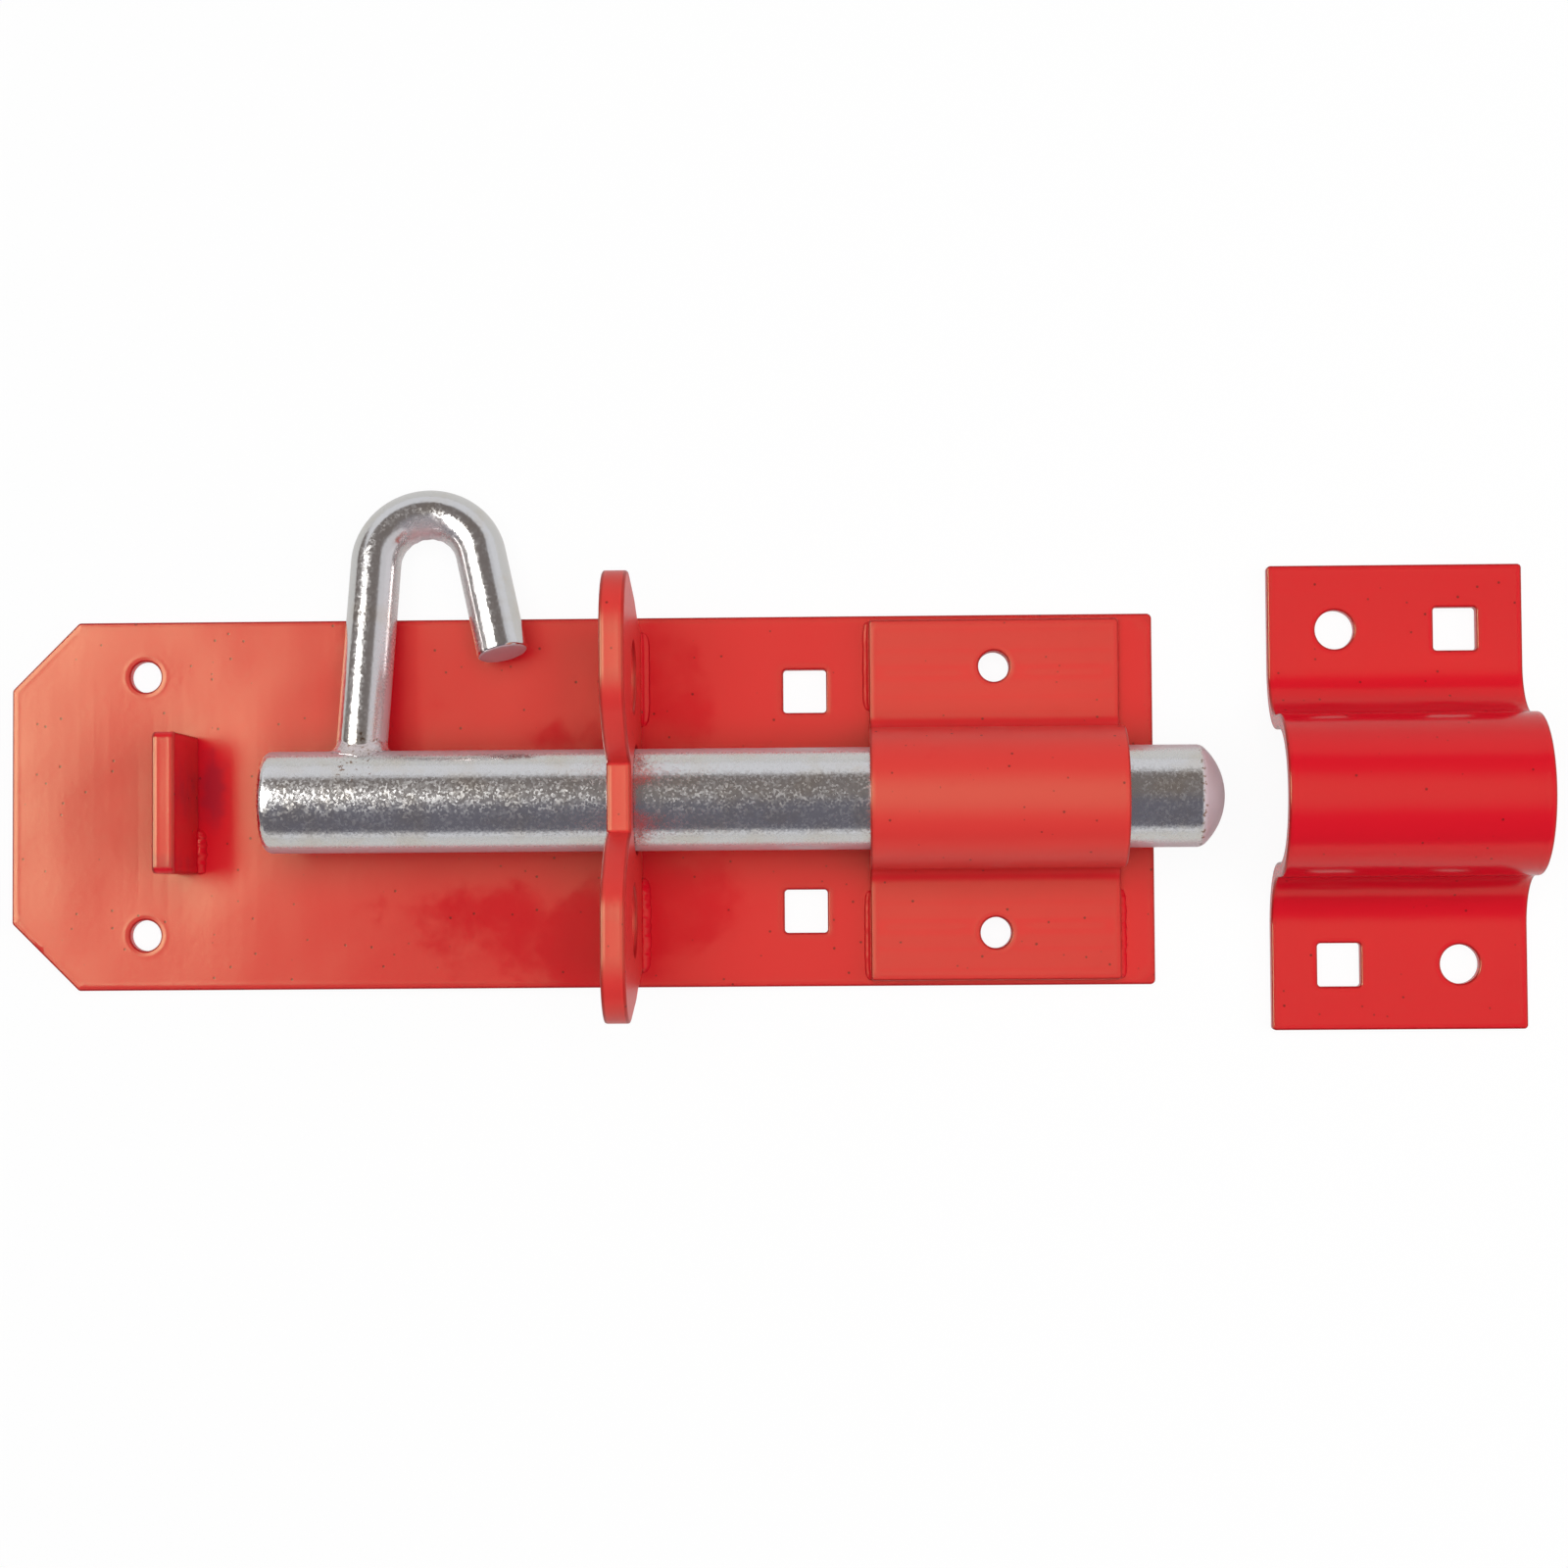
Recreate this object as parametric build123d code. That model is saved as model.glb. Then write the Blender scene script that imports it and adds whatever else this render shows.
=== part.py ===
from build123d import *
import math
import os

# Sliding bolt with a padlock plate, and the separate staple that receives it.
# Millimetres. The origin is the middle of the backplate's mounting face, +X runs along
# the bolt towards its nose, and +Z points away from the door or gate.

# Backplate
plate_length = 229.0
plate_width = 74.0
plate_thickness = 3.0
plate_end_chamfer = 13.5
plate_corner_radius = 1.0
screw_hole_diameter = 6.2
screw_hole_inset = 27.0
screw_hole_spacing = 52.0
square_hole_size = 8.6
square_hole_corner = 0.7
square_hole_inset = 69.4
square_hole_spacing = 44.0

# Bolt bar
bolt_diameter = 20.0
bolt_length = 187.6
bolt_floor_gap = 4.5
bolt_end_round = 1.8
bolt_nose_radius = 13.0
bolt_nose_overhang = 12.4

# Handle: a round rod bent into a hook and welded to the bar
rod_diameter = 10.0
handle_inset = 18.3
handle_lean = 2.5
hook_reach = 48.6
hook_bend_radius = 10.6
hook_leg_splay = 13.0
hook_leg_length = 21.6
hook_tip_chamfer = 0.5
hook_floor_gap = 0.15
handle_bar_clearance = 0.05
handle_weld_leg = 1.6
handle_weld_height = 2.4

# Stop lug behind the bolt's tail
bolt_draw_back = 16.1
lug_thickness = 4.6
lug_width = 27.6
lug_height = 21.8
lug_corner_radius = 1.0

# Locking plate that stands across the backplate. Its outline is given by widths at
# heights above the backplate, from the foot up over an ear and down into the valley.
# The corner width is between the sharp corners, before they are rounded.
hook_lock_gap = 17.2
lock_thickness = 4.8
lock_foot_width = 67.0
lock_waist_width = 73.4
lock_waist_height = 12.0
lock_flare_width = 78.4
lock_flare_height = 18.0
lock_corner_width = 92.6
lock_height = 46.2
lock_corner_radius = 12.0
lock_side_round = 5.0
ear_top_gap = 37.0
ear_slope_gap = 25.4
ear_slope_height = 40.4
ear_root_gap = 16.8
ear_root_height = 35.2
valley_width = 13.2
valley_height = 29.3
valley_round = 0.8
ear_round = 3.0
padlock_hole_diameter = 14.0
padlock_hole_spacing = 47.0
padlock_hole_height = 21.0
lock_bolt_clearance = 0.5

# Guide bridge over the bolt, bent from strap
bridge_width = 49.7
bridge_inset = 6.8
bridge_thickness = 3.0
bridge_end_margin = 1.1
bridge_bolt_clearance = 0.8
bridge_bend_radius = 3.0
bridge_hole_spacing = 53.0

# Staple, bent from strap and set in line with the bolt
staple_gap = 23.1
staple_width = 50.6
staple_length = 92.6
staple_thickness = 3.0
staple_arch_radius = 13.0
staple_arch_height = 16.0
staple_bend_radius = 10.0
staple_round_hole = 7.8
staple_hole_step = 23.9
staple_hole_spacing = 66.8

# Weld beads, and the edge that the enamel softens
lock_weld_leg = 1.8
lock_weld_length = 19.0
lock_weld_middle = 24.6
lug_weld_leg = 1.6
lug_weld_length = 8.6
bridge_weld_leg = 1.4
bridge_weld_length = 18.0
edge_round = 0.4

# Worked out from the sizes above
half_length = plate_length / 2
bolt_radius = bolt_diameter / 2
rod_radius = rod_diameter / 2
axis_height = plate_thickness + bolt_floor_gap + bolt_radius
nose_tip = half_length + bolt_nose_overhang
bolt_tail = nose_tip - bolt_length
lug_face = bolt_tail - bolt_draw_back
bridge_x = half_length - bridge_inset - bridge_width / 2
bridge_length = plate_width - 2 * bridge_end_margin
bridge_arch_radius = bolt_radius + bridge_bolt_clearance
staple_x = half_length + staple_gap + staple_width / 2
screw_hole_x = screw_hole_inset - half_length
square_hole_x = half_length - square_hole_inset

# The hook, seen square on: its stem leans from the bar, and its leg splays out again
lean = math.radians(handle_lean)
splay = math.radians(hook_leg_splay)
handle_x = bolt_tail + handle_inset
stem_length = (hook_reach + hook_bend_radius * math.sin(lean)) / math.cos(lean)
hook_middle = handle_x + stem_length * math.sin(lean) + hook_bend_radius * math.cos(lean)
leg_top = hook_middle + hook_bend_radius * math.cos(splay)
hook_nose_side = leg_top + hook_leg_length * math.sin(splay) + rod_radius * math.cos(splay)
lock_face = hook_nose_side + hook_lock_gap + lock_thickness

# It droops until its crown lies on the surface that the part is fixed to
hook_crown = hook_reach + hook_bend_radius
hook_droop = math.degrees(math.asin((axis_height - rod_radius - hook_floor_gap) / hook_crown))


def square_hole_outline():
    """A square hole with slightly rounded corners, for the neck of a carriage bolt."""
    RectangleRounded(square_hole_size, square_hole_size, square_hole_corner)


def make_backplate():
    """Flat plate with two clipped corners, two round holes at the tail, two square
    holes, and the two round holes that go on through the guide bridge."""
    with BuildPart() as plate:
        with BuildSketch():
            Rectangle(plate_length, plate_width)
            chamfer(vertices().group_by(Axis.X)[0], plate_end_chamfer)
            fillet(vertices().group_by(Axis.X)[-1], plate_corner_radius)
        extrude(amount=plate_thickness)
        fillet(edges().filter_by(Plane.XY).group_by(Axis.Z)[-1], edge_round)
        with BuildSketch():
            with Locations((screw_hole_x, 0)), GridLocations(0, screw_hole_spacing, 1, 2):
                Circle(screw_hole_diameter / 2)
            with Locations((bridge_x, 0)), GridLocations(0, bridge_hole_spacing, 1, 2):
                Circle(screw_hole_diameter / 2)
            with Locations((square_hole_x, 0)), GridLocations(0, square_hole_spacing, 1, 2):
                square_hole_outline()
        extrude(amount=plate_thickness, mode=Mode.SUBTRACT)
    return plate.part


def strap_outline(length, thickness, arch_radius, arch_height, bend_radius):
    """Side view of a strap that lies flat, rises through a bend to an arch and comes
    down again, standing on the sketch's X axis."""
    outer = arch_radius + thickness
    bend_out = outer + bend_radius
    bend_up = thickness + bend_radius
    slant = math.sqrt(0.5)
    with BuildLine() as right:
        foot = Line((length / 2, 0), (length / 2, thickness))
        Line(foot @ 1, (bend_out, thickness))
        ThreePointArc(
            (bend_out, thickness),
            (bend_out - bend_radius * slant, bend_up - bend_radius * slant),
            (outer, bend_up),
        )
        Line((outer, bend_up), (outer, arch_height))
        ThreePointArc(
            (outer, arch_height),
            (outer * slant, arch_height + outer * slant),
            (0, arch_height + outer),
        )
        Line((0, arch_height + outer), (0, arch_height + arch_radius))
        ThreePointArc(
            (0, arch_height + arch_radius),
            (arch_radius * slant, arch_height + arch_radius * slant),
            (arch_radius, arch_height),
        )
        Line((arch_radius, arch_height), (arch_radius, bend_up))
        ThreePointArc(
            (arch_radius, bend_up),
            (bend_out - bend_up * slant, bend_up - bend_up * slant),
            (bend_out, 0),
        )
        Line((bend_out, 0), foot @ 0)
    make_face(right.line)
    mirror(about=Plane.YZ)


def make_strap(width, length, thickness, arch_radius, arch_height, bend_radius):
    """A bent strap centred on the origin, its arch open along X."""
    with BuildPart() as strap:
        with BuildSketch(Plane.YZ.offset(-width / 2)):
            strap_outline(length, thickness, arch_radius, arch_height, bend_radius)
        extrude(amount=width)
    return strap.part


def make_guide_bridge():
    """Strap bent over the bolt, lying on the backplate, with a screw hole each side."""
    with BuildPart() as bridge:
        add(make_strap(
            bridge_width, bridge_length, bridge_thickness, bridge_arch_radius,
            axis_height - plate_thickness, bridge_bend_radius,
        ))
        with BuildSketch():
            with GridLocations(0, bridge_hole_spacing, 1, 2):
                Circle(screw_hole_diameter / 2)
        extrude(amount=bridge_thickness, mode=Mode.SUBTRACT)
    return Pos(bridge_x, 0, plate_thickness) * bridge.part


def make_staple():
    """Strap with a wider arch that receives the bolt. Each foot has a round and a
    square hole, crosswise."""
    step = staple_hole_step / 2
    row = staple_hole_spacing / 2
    with BuildPart() as staple:
        add(make_strap(
            staple_width, staple_length, staple_thickness, staple_arch_radius,
            staple_arch_height, staple_bend_radius,
        ))
        with BuildSketch():
            with Locations((-step, row), (step, -row)):
                Circle(staple_round_hole / 2)
            with Locations((step, row), (-step, -row)):
                square_hole_outline()
        extrude(amount=staple_thickness, mode=Mode.SUBTRACT)
    return Pos(staple_x, 0, 0) * staple.part


def make_stop_lug():
    """Upright flat bar that the bolt's tail is drawn back against."""
    with BuildPart() as lug:
        with BuildSketch(Plane.YZ):
            with Locations((0, lug_height / 2)):
                Rectangle(lug_width, lug_height)
            fillet(vertices().group_by(Axis.Y)[-1], lug_corner_radius)
        extrude(amount=-lug_thickness)
    return Pos(lug_face, 0, plate_thickness) * lug.part


def lock_outline():
    """Half of the locking plate from the foot up, over the ear and into the valley."""
    waist = (lock_waist_width / 2, lock_waist_height)
    flare = (lock_flare_width / 2, lock_flare_height)
    slope = (ear_slope_gap / 2, ear_slope_height)
    root = (ear_root_gap / 2, ear_root_height)
    floor = (valley_width / 2, valley_height)
    corner = (lock_corner_width / 2, lock_height)
    top = (ear_top_gap / 2, lock_height)
    points = [(0, 0), (lock_foot_width / 2, 0), waist, flare, corner, top]
    points += [slope, root, floor, (0, valley_height)]
    with BuildLine() as side:
        Polyline(*points, close=True)
    make_face(side.line)
    rounds = [
        (waist, lock_side_round), (flare, lock_side_round), (corner, lock_corner_radius),
        (top, ear_round), (slope, ear_round), (root, ear_round), (floor, valley_round),
    ]
    for place, radius in rounds:
        fillet(vertices().sort_by_distance((place[0], place[1], 0))[0], radius)
    mirror(about=Plane.YZ)


def make_locking_plate():
    """Upright plate with a hole for the bolt, a valley that lets the upright handle
    past, and an ear each side with a padlock hole."""
    with BuildPart() as lock:
        with BuildSketch(Plane.YZ):
            lock_outline()
            with Locations((0, axis_height - plate_thickness)):
                Circle(bolt_radius + lock_bolt_clearance, mode=Mode.SUBTRACT)
            with Locations((0, padlock_hole_height)), GridLocations(padlock_hole_spacing, 0, 2, 1):
                Circle(padlock_hole_diameter / 2, mode=Mode.SUBTRACT)
        extrude(amount=-lock_thickness)
    return Pos(lock_face, 0, plate_thickness) * lock.part


def make_bolt_bar():
    """Round bar with a softened tail and a domed nose."""
    nose_depth = bolt_nose_radius - math.sqrt(bolt_nose_radius ** 2 - bolt_radius ** 2)
    shoulder = bolt_length - nose_depth
    with BuildPart() as bar:
        with BuildSketch(Plane.XZ):
            with BuildLine():
                Line((0, 0), (0, bolt_radius))
                Line((0, bolt_radius), (shoulder, bolt_radius))
                RadiusArc((shoulder, bolt_radius), (bolt_length, 0), bolt_nose_radius)
                Line((bolt_length, 0), (0, 0))
            make_face()
            fillet(vertices().sort_by_distance((0, bolt_radius, 0))[0], bolt_end_round)
        revolve(axis=Axis.X)
    return Pos(bolt_tail, 0, axis_height) * bar.part


def bar_envelope():
    """The bar's cylinder with its clearance, about the X axis, to cope the handle to."""
    radius = bolt_radius + handle_bar_clearance
    return Cylinder(radius, 4 * bolt_diameter, rotation=(0, 90, 0))


def droop_about_bar(part):
    """Lay the part, made standing along +Y from the bar's axis, in its rest position."""
    return Pos(handle_x, 0, axis_height) * Rot(-hook_droop, 0, 0) * part


def make_bolt_handle():
    """Rod that leaves the bar, leans forward and turns back on itself as a hook."""
    turn = 180 - handle_lean - hook_leg_splay
    with BuildPart() as handle:
        with BuildLine() as path:
            up = Line((0, 0), (stem_length * math.sin(lean), stem_length * math.cos(lean)))
            bend = JernArc(up @ 1, up % 1, hook_bend_radius, -turn)
            Line(bend @ 1, (bend @ 1) + (bend % 1) * hook_leg_length)
        with BuildSketch(Plane(origin=path.line @ 0, z_dir=path.line % 0)):
            Circle(rod_radius)
        sweep()
        tip = edges().filter_by(GeomType.CIRCLE).sort_by_distance(path.line @ 1)[0]
        chamfer(tip, hook_tip_chamfer)
        add(bar_envelope(), mode=Mode.SUBTRACT)
    return droop_about_bar(handle.part)


def make_handle_weld():
    """Fillet weld round the root of the rod, coped to the bar."""
    inside = bolt_radius / 2
    toe = rod_radius + handle_weld_leg
    top = bolt_radius + handle_weld_height
    with BuildPart() as weld:
        with BuildSketch(Plane.XY):
            with BuildLine():
                Polyline(
                    (rod_radius, inside), (toe, inside), (toe, bolt_radius),
                    (rod_radius, top), close=True,
                )
            make_face()
        revolve(axis=Axis.Y)
    leaning = Rot(0, 0, -handle_lean) * weld.part
    return droop_about_bar(leaning - bar_envelope())


def weld_bead(leg, length):
    """Quarter-round bead with tapered ends, along Y in the corner between the XY plane
    and the YZ plane, on the +X side."""
    end = length / 2
    run = end - leg
    with BuildPart() as bead:
        with BuildSketch(Plane.XY):
            with BuildLine():
                Polyline(
                    (0, -end), (leg / 2, -end), (leg, -run),
                    (leg, run), (leg / 2, end), (0, end), close=True,
                )
            make_face()
        revolve(axis=Axis.Y, revolution_arc=-90)
    return bead.part


def make_locking_plate_weld():
    """A bead each side of the bolt, on the face that looks towards the nose."""
    bead = weld_bead(lock_weld_leg, lock_weld_length)
    places = [(lock_face, side * lock_weld_middle, plate_thickness) for side in (1, -1)]
    return [Pos(*place) * bead for place in places]


def make_stop_lug_weld():
    """A short bead at one end of the lug, on its face towards the bolt."""
    bead = weld_bead(lug_weld_leg, lug_weld_length)
    return [Pos(lug_face, (lug_weld_length - lug_width) / 2, plate_thickness) * bead]


def make_guide_bridge_weld():
    """Beads along the bridge's tail edge on both feet, and one on its nose edge."""
    bead = weld_bead(bridge_weld_leg, bridge_weld_length)
    middle = (bridge_length - bridge_weld_length) / 2
    tail_edge = bridge_x - bridge_width / 2
    nose_edge = bridge_x + bridge_width / 2
    beads = [
        Pos(tail_edge, side * middle, plate_thickness) * Rot(0, 0, 180) * bead
        for side in (1, -1)
    ]
    return beads + [Pos(nose_edge, -middle, plate_thickness) * bead]


def main():
    os.makedirs("parts", exist_ok=True)
    nodes = {
        "backplate": make_backplate(),
        "stop_lug": make_stop_lug(),
        "stop_lug_weld": make_stop_lug_weld(),
        "locking_plate": make_locking_plate(),
        "locking_plate_weld": make_locking_plate_weld(),
        "guide_bridge": make_guide_bridge(),
        "guide_bridge_weld": make_guide_bridge_weld(),
        "bolt_bar": make_bolt_bar(),
        "bolt_handle": make_bolt_handle(),
        "handle_weld": make_handle_weld(),
        "staple": make_staple(),
    }
    for name, shape in nodes.items():
        solids = shape if isinstance(shape, list) else [shape]
        export_step(Compound(children=solids), f"parts/{name}.step")
    print(f"bolt axis {axis_height:.2f} mm up, hook droops {hook_droop:.3f} degrees")


main()
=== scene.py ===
import math

import bmesh
import bpy
import numpy as np
from bpy.props import FloatProperty, FloatVectorProperty, IntProperty, PointerProperty
from mathutils import Matrix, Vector
from mathutils.geometry import delaunay_2d_cdt


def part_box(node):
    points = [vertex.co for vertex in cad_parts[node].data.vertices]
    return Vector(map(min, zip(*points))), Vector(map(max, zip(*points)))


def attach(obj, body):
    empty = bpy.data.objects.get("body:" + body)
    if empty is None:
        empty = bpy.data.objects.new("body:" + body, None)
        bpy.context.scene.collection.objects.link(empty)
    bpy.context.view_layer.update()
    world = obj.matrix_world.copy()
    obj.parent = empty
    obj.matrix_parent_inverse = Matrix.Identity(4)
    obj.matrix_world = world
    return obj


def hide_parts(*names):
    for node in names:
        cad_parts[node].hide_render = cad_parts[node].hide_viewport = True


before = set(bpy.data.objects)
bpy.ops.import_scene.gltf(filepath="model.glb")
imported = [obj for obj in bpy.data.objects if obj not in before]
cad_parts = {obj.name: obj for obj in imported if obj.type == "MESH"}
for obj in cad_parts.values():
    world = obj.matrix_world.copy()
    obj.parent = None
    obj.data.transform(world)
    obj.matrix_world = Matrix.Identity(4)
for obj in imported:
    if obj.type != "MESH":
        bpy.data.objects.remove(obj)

bl_info = {
    "name": "Sliding Bolt Looks",
    "version": (1, 0, 0),
    "blender": (4, 5, 0),
    "location": "3D View > Sidebar > Sliding Bolt",
    "description": "Red enamelled sliding bolt with a zinc plated bar, and its staple",
    "category": "Object",
}

MM = 0.001
IMAGE_SIZE = 1600
FOCAL_PIXELS = 3148.666
SENSOR_WIDTH = 36.0


def linear(hex_colour):
    """Linear RGB of an sRGB hex colour.

    Each channel c is c / 12.92 up to 0.04045, and ((c + 0.055) / 1.055) ^ 2.4 above."""
    c = np.array([int(hex_colour[i:i + 2], 16) for i in (1, 3, 5)]) / 255
    return tuple(np.where(c <= 0.04045, c / 12.92, ((c + 0.055) / 1.055) ** 2.4).tolist())


def length(name, description, default_mm):
    """A property that holds a length in metres, its default given in millimetres."""
    return FloatProperty(
        name=name, description=description, default=default_mm * MM, min=0,
        unit="LENGTH", subtype="DISTANCE", precision=5,
    )


def colour(name, description, default_hex):
    """A property that holds a linear colour, its default given as an sRGB hex value."""
    return FloatVectorProperty(
        name=name, description=description, default=linear(default_hex), min=0, max=1,
        size=3, subtype="COLOR",
    )


class BoltPlateSizes(bpy.types.PropertyGroup):
    """Sizes of the flat plates."""
    end_chamfer: length("End chamfer", "Clipped corner of the backplate", 13.5)
    screw_hole: length("Screw hole", "Diameter of the round holes in the backplate", 6.2)
    screw_hole_inset: length("Screw hole inset", "Tail holes from the tail end", 27.0)
    screw_hole_spacing: length("Screw hole spacing", "Between the two tail holes", 52.0)
    square_hole: length("Square hole", "Side of a square hole", 8.6)
    square_hole_inset: length("Square hole inset", "Square holes from the nose end", 69.4)
    square_hole_spacing: length("Square hole spacing", "Between the two square holes", 44.0)
    square_hole_corner: length("Square hole corner", "Corner radius of a square hole", 0.7)
    bridge_hole_spacing: length("Bridge hole spacing", "Between the bridge's two holes", 53.0)
    padlock_hole: length("Padlock hole", "Diameter of a padlock hole", 14.0)
    padlock_hole_spacing: length("Padlock hole spacing", "Between the padlock holes", 47.0)
    padlock_hole_height: length("Padlock hole height", "Above the backplate", 21.0)
    bolt_hole: length("Bolt hole", "Diameter of the locking plate's middle hole", 21.0)
    rim: length("Rim", "Radius that the enamel gives to a sheared edge", 0.45)


class BoltStrapSizes(bpy.types.PropertyGroup):
    """Sizes of the two bent straps."""
    thickness: length("Thickness", "Thickness of both straps", 3.0)
    bridge_arch: length("Bridge arch", "Inner radius of the bridge's arch", 10.8)
    bridge_bend: length("Bridge bend", "Radius of the bridge's foot bends", 3.0)
    bridge_wall: length("Bridge arch height", "Arch centre above the backplate", 14.5)
    staple_arch: length("Staple arch", "Inner radius of the staple's arch", 13.0)
    staple_bend: length("Staple bend", "Radius of the staple's foot bends", 10.0)
    staple_wall: length("Staple arch height", "Arch centre above the staple's back", 16.0)
    staple_round_hole: length("Staple round hole", "Diameter", 7.8)
    staple_hole_step: length("Staple hole step", "Between holes along the bolt", 23.9)
    staple_hole_spacing: length("Staple hole spacing", "Between holes across it", 66.8)


class BoltBarSizes(bpy.types.PropertyGroup):
    """Sizes of the round bar and its hooked handle."""
    end_round: length("Tail round", "Radius round the bar's tail", 1.8)
    nose_radius: length("Nose radius", "Radius of the domed nose", 13.0)
    nose_edge: length("Nose edge", "Rounding where the dome meets the bar", 2.4)
    rod: length("Rod", "Diameter of the handle's rod", 10.0)
    handle_inset: length("Handle inset", "Handle from the bar's tail", 18.3)
    hook_reach: length("Hook reach", "Centre of the hook's bend from the bar's axis", 48.6)
    hook_bend: length("Hook bend", "Radius of the hook's bend", 10.6)
    leg: length("Leg", "Straight end of the hook", 21.6)
    lean: FloatProperty(
        name="Lean", description="Lean of the stem towards the nose",
        default=math.radians(2.5), subtype="ANGLE", unit="ROTATION",
    )
    splay: FloatProperty(
        name="Splay", description="Splay of the hook's leg",
        default=math.radians(13.0), subtype="ANGLE", unit="ROTATION",
    )
    floor_gap: length("Floor gap", "Between the hook's crown and the surface below", 0.15)
    cope_gap: length("Cope gap", "Between the rod's coped root and the bar", 0.05)


class BoltFinishes(bpy.types.PropertyGroup):
    """Colours and grains of the finishes."""
    enamel: colour("Enamel", "Body of the red enamel", "#D50D24")
    enamel_deep: colour("Deep enamel", "Where the enamel lies thick", "#CF0D22")
    # a paler colour that paints the sheen on the locking plate and on the bridge's arch
    enamel_dry: colour("Dry enamel", "Where the enamel is thin and matt", "#E25C4C")
    enamel_rim: colour("Rim enamel", "Where the enamel thins over an edge", "#A00D16")
    # dark colour beside the stop lug: weld soot and a painted shadow of the lug
    speck: colour("Speck", "Dust and pinholes in the enamel", "#6E1216")
    soot: colour("Soot", "Stain of the welding beside the stop lug", "#7E1B33")
    zinc: colour("Zinc", "Bright zinc plating", "#DBDAD8")
    zinc_warm: colour("Warm zinc", "Yellowed clouds of the plating", "#D6D0C6")
    # pinkish matt colour: cut ends really are matt, and the pink is a painted reflection of the
    # red plate
    zinc_dull: colour("Dull zinc", "Cut ends and undersides, which stay matt", "#BFA2AA")
    scorch: colour("Scorch", "Brown specks beside a weld", "#7A5230")
    peel_size: length("Orange peel", "Width of one ripple in the enamel", 1.7)
    speck_size: length("Speck spacing", "Mean distance between dust specks", 2.6)
    grain_size: length("Zinc grain", "Width of one grain of the plating", 0.42)
    seed: IntProperty(name="Seed", description="Choice of the random lumps", default=7, min=0)


def node_box(name):
    """Lowest and highest corner of a frame node as arrays."""
    low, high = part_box(name)
    return np.array(low), np.array(high)


def rounded_loop(corners, radii, step):
    """Closed outline of a polygon whose corners are arcs, as points in order.

    An arc starts r tan(turn / 2) before its corner. Its points are its centre plus the
    spoke to its start, turned by evenly spaced angles. Sides are divided evenly."""
    corners = np.asarray(corners, float)
    ahead = np.roll(corners, -1, axis=0) - corners
    ahead /= np.linalg.norm(ahead, axis=1)[:, None]
    arcs = []
    for i, (corner, radius) in enumerate(zip(corners, radii)):
        before, after = ahead[i - 1], ahead[i]
        turn = math.atan2(before[0] * after[1] - before[1] * after[0], before @ after)
        cut = radius * math.tan(abs(turn) / 2)
        start = corner - before * cut
        side = np.array([-before[1], before[0]]) * math.copysign(radius, turn)
        count = max(2, int(math.ceil(abs(turn) / math.radians(12))) + 1)
        a = np.linspace(0, turn, count)[:, None]
        spoke, ahead_of_spoke = -side, (side[1], -side[0])
        arcs.append(start + side + np.cos(a) * spoke + np.sin(a) * ahead_of_spoke)
    loop = []
    for arc, following in zip(arcs, arcs[1:] + arcs[:1]):
        reach = following[0] - arc[-1]
        count = max(1, int(round(np.linalg.norm(reach) / step)))
        share = np.linspace(0, 1, count + 1)[1:-1, None]
        loop += [arc, arc[-1] + reach * share]
    return np.concatenate(loop)


def round_angles(count):
    """Evenly spaced angles once round, the last one step short of the first."""
    return np.arange(count) * math.tau / count


def circle_loop(centre, diameter, count=48):
    """Hole outline: its centre plus the radius times (cos a, -sin a), clockwise."""
    a = round_angles(count)
    return np.array(centre) + diameter / 2 * np.stack([np.cos(a), -np.sin(a)], axis=1)


def square_loop(centre, side, corner, step=0.7 * MM):
    """Clockwise outline of a square hole with rounded corners."""
    half = side / 2
    corners = [(-half, -half), (-half, half), (half, half), (half, -half)]
    return np.array(centre) + rounded_loop(corners, [corner] * 4, step)


def outward(loop):
    """Unit normals on the right of the way along: the tangent turned by -90 degrees."""
    tangent = np.roll(loop, -1, axis=0) - np.roll(loop, 1, axis=0)
    tangent /= np.linalg.norm(tangent, axis=1)[:, None]
    return np.stack([tangent[:, 1], -tangent[:, 0]], axis=1)


def inside(points, loop):
    """Which points lie in a closed loop: a ray along +X crosses it an odd number of times."""
    x, y = points[:, 0, None], points[:, 1, None]
    a, b = loop, np.roll(loop, -1, axis=0)
    spans = (a[:, 1] > y) != (b[:, 1] > y)
    rise = np.where(a[:, 1] == b[:, 1], 1.0, b[:, 1] - a[:, 1])
    cross = a[:, 0] + (y - a[:, 1]) / rise * (b[:, 0] - a[:, 0])
    return (spans & (x < cross)).sum(axis=1) % 2 == 1


def apart(points, loops):
    """Distance of each point from the nearest point of the outlines."""
    return np.min([
        np.linalg.norm(points[:, None] - loop[None], axis=2).min(axis=1) for loop in loops
    ], axis=0)


def within(points, loops):
    """Which points lie in the first outline and in none of the others."""
    held = inside(points, loops[0])
    for hole in loops[1:]:
        held &= ~inside(points, hole)
    return held


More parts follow.
